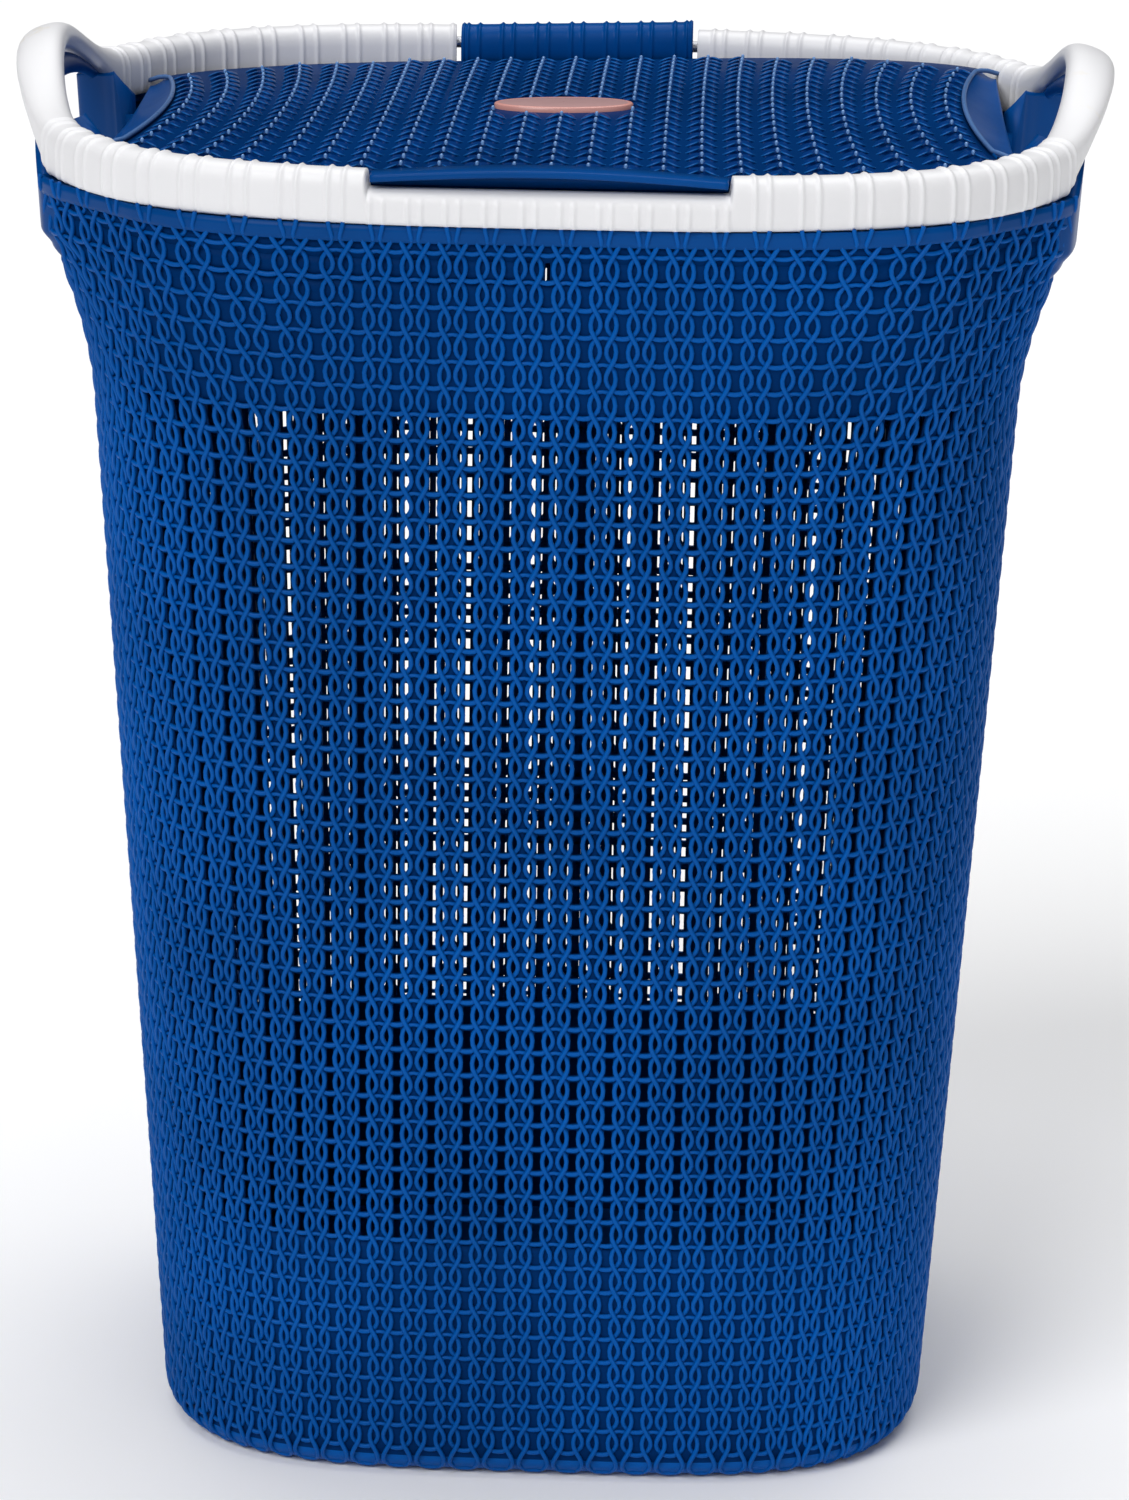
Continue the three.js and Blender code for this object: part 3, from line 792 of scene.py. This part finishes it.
class HAMPER_OT_lid_stitches(bpy.types.Operator):
    """Columns of overlapping stitches that run from the lip to the hinge"""
    bl_idname = "hamper.lid_stitches"
    bl_label = "Lid stitches"

    def execute(self, context):
        s = sizes()
        lobe_blue = moulded_blue("blue_lid", (0.0004, 0.034, 0.175), 0.34, 0.08)
        # Painted highlight: the raised line round each scale is a lighter blue, standing in for the highlight
        # along its edge.
        line_painted_highlight = moulded_blue("blue_lid_line", (0.008, 0.100, 0.34), 0.28, 0.05)
        # Painted highlight: the studs are coloured a pale bright blue, standing in for the glints along each
        # column's middle line.
        glint = Finish("blue_stud", 0.15, Specular_IOR_Level=0.7)
        glint.feed("Base Color", glint.noise(50.0).mix((0.11, 0.26, 0.56), (0.17, 0.35, 0.68)))
        wale, row = s.lid_wale / MM, s.lid_row / MM
        columns = int(LID_END / wale)
        lobe, line, stud = Mesher(), Mesher(), Mesher()
        for column in range(-columns, columns + 1):
            share = column / (columns + 0.5)
            for y in np.arange(FIRST_STUD, LID_BACK - 3, row):
                bow = lid_end(y) - LID_END
                x = share * LID_END + bow * share * abs(share) ** 2
                wide = wale * (1 + 0.5 * bow / LID_END)
                room = min(float(np.minimum(lid_edge(y + step), lid_end(y))) for step in (-7, 0, 7)) - 0.8
                lean = -share * abs(share) ** 2 * 0.0022 * y
                for side in (-1, 1):
                    cx = x + side * 0.225 * wide
                    if abs(cx) + 0.22 * wide > room or self.near_badge(cx, y, 21):
                        continue
                    self.stitch(lobe, line, cx, y, 0.212 * wide, side * 0.16 - lean, side)
                if abs(x) + 2 < room and not self.near_badge(x, y, 18):
                    self.bump(stud, x, y)
        for mesher in (lobe, line, stud):
            mesher.points = [lid_warp(p) for p in mesher.points]
        lobe.make("lid_stitches", lobe_blue, "lid", slot="lid_plastic")
        line.make("lid_stitch_lines", line_painted_highlight, "lid", slot="lid_plastic")
        stud.make("lid_studs", glint.material, "lid", slot="lid_plastic")
        return {"FINISHED"}

    def near_badge(self, x, y, reach):
        """Whether a place lies in the oval round the badge that stays free of stitches."""
        return (x / (BADGE_A + 2)) ** 2 + ((y - BADGE_Y) / reach) ** 2 < 1

    def stitch(self, lobe, line, cx, cy, half, tilt, side):
        """One scale, higher at its front, with a fine raised line round its front edge, coloured a lighter
        blue as a painted highlight.
        """
        def place(k, turn, height):
            u, v = half * k * np.cos(turn), STITCH_REACH * k * np.sin(turn)
            px = cx + u * math.cos(tilt) - v * math.sin(tilt)
            py = cy + u * math.sin(tilt) + v * math.cos(tilt)
            fall = 2.1 * ((px - cx) / half * side * 0.5 + 0.5) ** 2
            return np.stack([px, py, lid_top(px, py) - 0.35 + height - 0.10 * v - fall], -1)
        turn = np.arange(16) * TAU / 16
        dome = ((1.0, -1.9), (0.98, -0.6), (0.88, 0.25), (0.62, 0.62), (0.3, 0.72), (0.02, 0.74))
        lobe.grid(np.stack([place(k, turn, h) for k, h in dome], 1), closed_u=True)
        arc = np.radians(np.linspace(-150, 20, 13) if side > 0 else np.linspace(-200, -30, 13))
        path = place(0.93, arc, 0.18)
        line.tube(path, np.tile([0.0, 0.0, 1.0], (len(path), 1)), 0.42, sides=5)

    def bump(self, stud, x, y):
        """A small round stud on the middle line of a column."""
        turn = np.arange(8) * TAU / 8
        rings = [np.stack([x + 0.8 * k * np.cos(turn), y + 0.8 * k * np.sin(turn),
                           lid_top(x, y) + 0.4 + h + 0 * turn], -1)
                 for k, h in ((1.0, -1.2), (0.92, 0.15), (0.6, 0.55), (0.02, 0.7))]
        stud.grid(np.stack(rings, 1), closed_u=True)


class HAMPER_OT_lid_scoops(bpy.types.Operator):
    """Smooth end flanges beside the hand openings, with their raised edge in a lighter blue as a painted
    highlight
    """
    bl_idname = "hamper.lid_scoops"
    bl_label = "Lid end scoops"

    def execute(self, context):
        blue = moulded_blue("blue_smooth", colours().plain, 0.34, 0.06)
        # Painted highlight: the raised edge is a lighter blue, standing in for the highlight along it.
        edge = moulded_blue("blue_edge", (0.08, 0.17, 0.38), 0.3, 0.05)
        for side, name in ((-1, "left"), (1, "right")):
            y = np.linspace(-93, 93, 60)[:, None]
            u = np.linspace(0, 1, 16)[None]
            inner = np.minimum(lid_end(y), lid_edge(y)) + 0.2
            x = inner + (SCOOP_END - inner) * u + 0 * y
            drop = SCOOP_DROP * np.sin(u * np.pi / 2) * bell(y, 186)
            z = lid_top(inner, y) - drop
            y = y + 0 * u
            top = np.stack([side * x, y, z], -1)
            under = np.stack([side * x, y, z - 2.4], -1)
            mesher = Mesher()
            mesher.grid(np.concatenate([top, under[:, ::-1]], 1), closed_v=True, flip=side > 0)
            mesher.points = [lid_warp(p) for p in mesher.points]
            mesher.make("lid_flange_%s" % name, blue, "lid", slot="lid_plastic",
                        replaces=("lid_scoop_%s" % name,))
            mesher = Mesher()
            yb = np.linspace(-96, 96, 70)
            xb = lid_end(yb) + 0.4 + 9 * smooth(84, 97, np.abs(yb))
            path = np.stack([side * xb, yb, lid_top(xb, yb) + 0.1 - 3 * smooth(88, 97, np.abs(yb))], -1)
            mesher.tube(lid_warp(path), np.tile([0.0, 0.0, 1.0], (len(yb), 1)), 1.0, sides=10)
            mesher.make("lid_edge_%s" % name, edge, "lid", slot="lid_plastic")
        return {"FINISHED"}


class HAMPER_OT_lid_lip(bpy.types.Operator):
    """Arched finger lip and the wall below it"""
    bl_idname = "hamper.lid_lip"
    bl_label = "Lid lip"

    def execute(self, context):
        blue = moulded_blue("blue_smooth", colours().plain, 0.34, 0.06)
        x = np.linspace(-LIP_HALF, LIP_HALF, 80)
        rise = LIP_ARCH * np.cos(np.pi * x / (2 * LIP_HALF))
        under = RIM_TOP - RECESS_DROP + 2.6 + rise
        front = -172 + 2 * (x / LIP_HALF) ** 2
        back = np.full(len(x), -156.2)
        r = 0.9
        def ring(y, z):
            return np.stack([x, y, z], -1)
        top = under + LIP_T
        rings = [ring(back, under), ring(front + r, under), ring(front + 0.25, under + 0.3),
                 ring(front, under + r), ring(front, top - r), ring(front + 0.3, top - 0.25),
                 ring(front + r, top), ring(front + 6, top), ring(back, top - 0.4)]
        lip = np.stack(rings, 1)
        centre = lip.mean(1, keepdims=True)
        ends = [centre[:1] + (lip[:1] - centre[:1]) * 0.02 - [0.3, 0, 0],
                centre[-1:] + (lip[-1:] - centre[-1:]) * 0.02 + [0.3, 0, 0]]
        mesher = Mesher()
        mesher.grid(np.concatenate([ends[0], lip, ends[1]]), closed_v=True, flip=True)
        mesher.make("lid_front_lip", blue, "lid", slot="lid_plastic", replaces=("lid_lip",))
        foot = np.full(len(x), RIM_TOP - RECESS_DROP + 0.4)
        wall = [ring(np.full(len(x), -161.0), under + 0.4), ring(np.full(len(x), -161.3), foot),
                ring(np.full(len(x), -158.8), foot), ring(np.full(len(x), -158.5), under + 0.4)]
        wall = np.stack(wall, 1)
        mesher = Mesher()
        mesher.grid(np.concatenate([wall[:1].mean(1, keepdims=True) + 0 * wall[:1], wall,
                                    wall[-1:].mean(1, keepdims=True) + 0 * wall[-1:]]), closed_v=True)
        mesher.make("lid_lip_front", blue, "lid", slot="lid_plastic", replaces=("lid_lip_wall",))
        return {"FINISHED"}


class HAMPER_OT_hinge_barrel(bpy.types.Operator):
    """Ribbed hinge barrel at the back of the lid"""
    bl_idname = "hamper.hinge_barrel"
    bl_label = "Hinge barrel"

    def execute(self, context):
        blue = moulded_blue("blue_smooth", colours().plain, 0.34, 0.06)
        x = np.linspace(-BARREL_HALF, BARREL_HALF, 420)
        pairs = np.arange(-3, 4) * 15.5
        ribs = np.concatenate([pairs - 2.6, pairs + 2.6, [-BARREL_HALF + 0.9, BARREL_HALF - 0.9]])
        height = np.exp(-(np.abs(x[:, None] - ribs[None]).min(1) / 0.8) ** 2) * sizes().rib / MM
        turn = (np.arange(30) + 0.5) * TAU / 30
        a, b = oval(BARREL_W / 2, BARREL_H / 2, 2.5, turn)
        k = 1 + height[:, None] / 9.0
        points = np.stack([x[:, None] + 0 * k * a, HINGE_Y + a * k, HINGE_Z + b * k], -1)
        centre = np.stack([x, np.full(len(x), HINGE_Y), np.full(len(x), HINGE_Z)], -1)[:, None]
        def shrink(i, q):
            return centre[i:i + 1 or None] + (points[i:i + 1 or None] - centre[i:i + 1 or None]) * q
        rings = [shrink(0, 0.3), shrink(0, 0.94), points, shrink(-1, 0.94), shrink(-1, 0.3)]
        mesher = Mesher()
        mesher.grid(np.concatenate(rings), closed_v=True, flip=True)
        mesher.points = [lid_warp(p) for p in mesher.points]
        mesher.make("lid_hinge_barrel", blue, "lid", slot="lid_plastic", replaces=("hinge_barrel",))
        return {"FINISHED"}


class HAMPER_OT_badge(bpy.types.Operator):
    """Plain oval badge on the lid"""
    bl_idname = "hamper.badge"
    bl_label = "Badge"

    def execute(self, context):
        f = Finish("badge_print", 0.28, Coat_Weight=0.4)
        colour = colours().badge
        dark, light = [c * 0.92 for c in colour], [min(1, c * 1.1) for c in colour]
        f.feed("Base Color", f.noise(40.0, 3.0).mix(dark, light))
        pale = Finish("badge_border", 0.3)
        pale.feed("Base Color", pale.noise(60.0).mix((0.58, 0.27, 0.24), (0.66, 0.33, 0.29)))
        turn = np.arange(72) * TAU / 72
        def oval_rings(sizes_heights):
            return [np.stack([BADGE_A * k * np.cos(turn), BADGE_Y + BADGE_B * q * np.sin(turn),
                              np.full(72, h)], -1)
                    for k, q, h in sizes_heights]
        base = float(lid_top(0, BADGE_Y))
        face = oval_rings(((0.93, 0.88, 0.9), (0.7, 0.66, 1.1), (0.35, 0.33, 1.2), (0.01, 0.01, 1.2)))
        edge = oval_rings(((1.0, 1.0, -1.6), (1.0, 1.0, 0.4), (0.985, 0.97, 0.8), (0.955, 0.92, 1.0),
                           (0.93, 0.88, 0.9)))
        for rings, name, material in ((face, "badge_face", f.material),
                                      (edge, "badge_edge", pale.material)):
            points = np.stack(rings, 1)
            points[..., 2] += base - 0.033 * (points[..., 1] - BADGE_Y)
            mesher = Mesher()
            mesher.grid(lid_warp(points), closed_u=True)
            more = {"replaces": ("lid_badge",)} if name == "badge_face" else {}
            mesher.make(name, material, "lid", slot="badge_plastic", **more)
        return {"FINISHED"}


class HAMPER_OT_stage(bpy.types.Operator):
    """Pale floor, soft lights, pale surroundings and the camera"""
    bl_idname = "hamper.stage"
    bl_label = "Stage"

    def light(self, name, place, strength, spread):
        """A large soft light that shines evenly from one side of the studio."""
        data = bpy.data.lights.new(name, "SUN")
        data.energy, data.angle = strength, math.radians(spread)
        lamp = bpy.data.objects.new(name, data)
        lamp.location = place
        lamp.rotation_euler = (-Vector(place)).to_track_quat("-Z", "Y").to_euler()
        bpy.context.scene.collection.objects.link(lamp)

    def execute(self, context):
        scene = bpy.context.scene
        floor = Finish("studio_floor", 0.9)
        tone = colours().floor
        floor.feed("Base Color", floor.noise(2.0).mix([c * 0.985 for c in tone], tone))
        mesh = bpy.data.meshes.new("studio_floor")
        r = 30
        mesh.from_pydata([(-r, -r, 0), (r, -r, 0), (r, r, 0), (-r, r, 0)], [], [(0, 1, 2, 3)])
        mesh.materials.append(floor.material)
        plane = bpy.data.objects.new("studio_floor", mesh)
        plane.location = (0, 0, -0.0005)
        scene.collection.objects.link(plane)

        world = bpy.data.worlds.new("studio_air")
        world.use_nodes = True
        world.node_tree.nodes["Background"].inputs["Color"].default_value = (1, 1, 1, 1)
        world.node_tree.nodes["Background"].inputs["Strength"].default_value = 0.60
        self.light("key", (-0.50, -0.75, 0.85), 1.8, 35)
        self.light("fill", (0.45, -1.0, 0.40), 0.6, 60)
        self.light("top", (0.05, 0.25, 1.0), 2.2, 60)

        tilt, roll, turn = 0.3139, 0.0151, 0.0331
        away, high = 2.0834, 0.9561
        forward = Vector((-math.sin(turn) * math.cos(tilt), math.cos(turn) * math.cos(tilt), -math.sin(tilt)))
        right = Vector((math.cos(turn), math.sin(turn), 0))
        up = right.cross(forward)
        across = right * math.cos(roll) + up * math.sin(roll)
        above = up * math.cos(roll) - right * math.sin(roll)
        data = bpy.data.cameras.new("camera")
        data.sensor_fit, data.sensor_width = "HORIZONTAL", 36
        data.lens = 36 * 5013.5 / 1129
        data.shift_x, data.shift_y = 0.0087, 0.0011
        data.clip_start, data.clip_end = 0.05, 100
        camera = bpy.data.objects.new("camera", data)
        matrix = Matrix((across, above, -forward)).transposed().to_4x4()
        matrix.translation = Vector((away * math.sin(turn), -away * math.cos(turn), high))
        camera.matrix_world = matrix
        scene.collection.objects.link(camera)
        scene.camera = camera
        scene.view_settings.view_transform = "Standard"
        return {"FINISHED"}


class HAMPER_PT_panel(bpy.types.Panel):
    """Hamper builder"""
    bl_label = "Laundry hamper"
    bl_idname = "HAMPER_PT_panel"
    bl_space_type = "VIEW_3D"
    bl_region_type = "UI"
    bl_category = "Hamper"

    def draw(self, context):
        for group in (context.scene.hamper_sizes, context.scene.hamper_colours):
            for key in group.__annotations__:
                self.layout.prop(group, key)
        for operator in BUILDERS:
            self.layout.operator(operator.bl_idname)


BUILDERS = (
    HAMPER_OT_stage, HAMPER_OT_tub_base, HAMPER_OT_tub_web, HAMPER_OT_tub_strands, HAMPER_OT_tub_band,
    HAMPER_OT_rim, HAMPER_OT_hinge_pins, HAMPER_OT_lid_panel, HAMPER_OT_lid_stitches,
    HAMPER_OT_lid_scoops, HAMPER_OT_lid_lip, HAMPER_OT_hinge_barrel, HAMPER_OT_badge,
)
CLASSES = (HamperSizes, HamperColours, *BUILDERS, HAMPER_PT_panel)


def register():
    for item in CLASSES:
        bpy.utils.register_class(item)
    bpy.types.Scene.hamper_sizes = PointerProperty(type=HamperSizes)
    bpy.types.Scene.hamper_colours = PointerProperty(type=HamperColours)


def unregister():
    del bpy.types.Scene.hamper_sizes
    del bpy.types.Scene.hamper_colours
    for item in reversed(CLASSES):
        bpy.utils.unregister_class(item)


def plain(box):
    return [[float(v) for v in corner] for corner in box]


def main():
    register()
    for operator in BUILDERS:
        group, name = operator.bl_idname.split(".")
        if getattr(getattr(bpy.ops, group), name)() != {"FINISHED"}:
            raise RuntimeError(operator.bl_idname + " did not finish")


if __name__ == "__main__":
    main()
